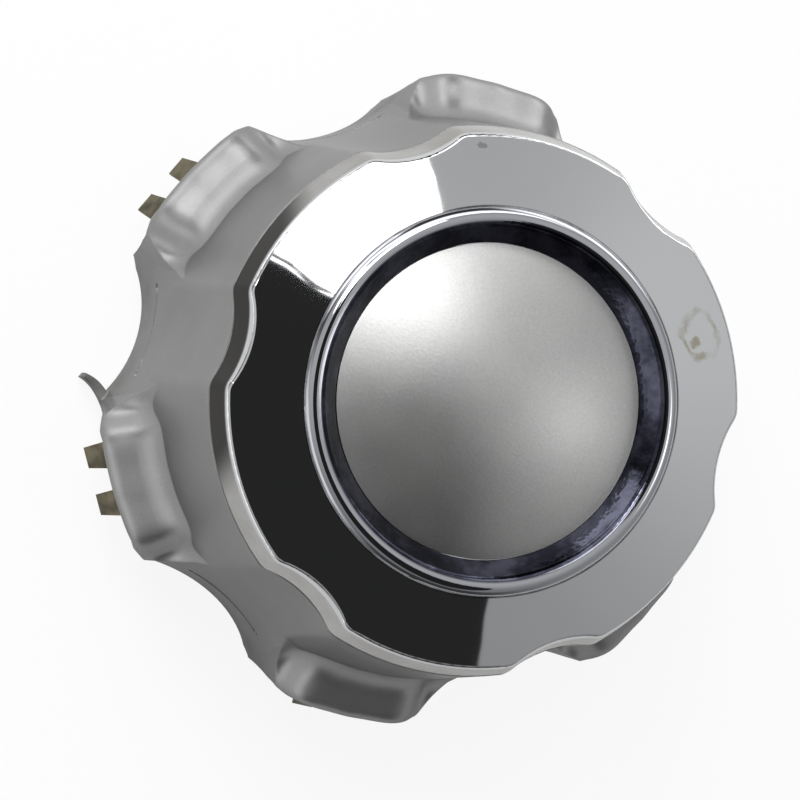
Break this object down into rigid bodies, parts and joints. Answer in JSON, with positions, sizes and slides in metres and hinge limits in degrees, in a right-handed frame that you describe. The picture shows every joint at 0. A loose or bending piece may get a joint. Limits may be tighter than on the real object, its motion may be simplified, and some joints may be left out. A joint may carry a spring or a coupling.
{
  "type": "wheel centre cap",
  "caption": "Chromed lobed face plate with a plain satin dome, on a deep satin skirt whose tongues and sprung clips grip a wheel's centre hole.",
  "frame": {"origin": "on the cap's axis, in the plane that the tongue tips stand on", "axes": "+Z along the cap's axis towards the chromed face; +X through the middle of lobe 1, and the stud clearances half way between the lobes"},
  "size_m": [0.1302, 0.1216, 0.072],
  "materials": {
    "chromed_plastic": "mirror-bright chrome plating on moulded plastic",
    "satin_dome": "satin silver dome under a clear coat",
    "foam_tape": "closed-cell foam adhesive tape",
    "silver_painted_plastic": "satin silver paint on moulded plastic",
    "spring_steel": "dark olive-grey tempered spring steel"
  },
  "bodies": {
    "root": {"face_plate": "chromed_plastic", "medallion": "satin_dome", "medallion_tape": "foam_tape", "skirt_shell": "silver_painted_plastic", "clip_1": "spring_steel", "clip_2": "spring_steel", "clip_3": "spring_steel", "clip_4": "spring_steel", "clip_5": "spring_steel", "clip_6": "spring_steel"}
  },
  "joints": []
}
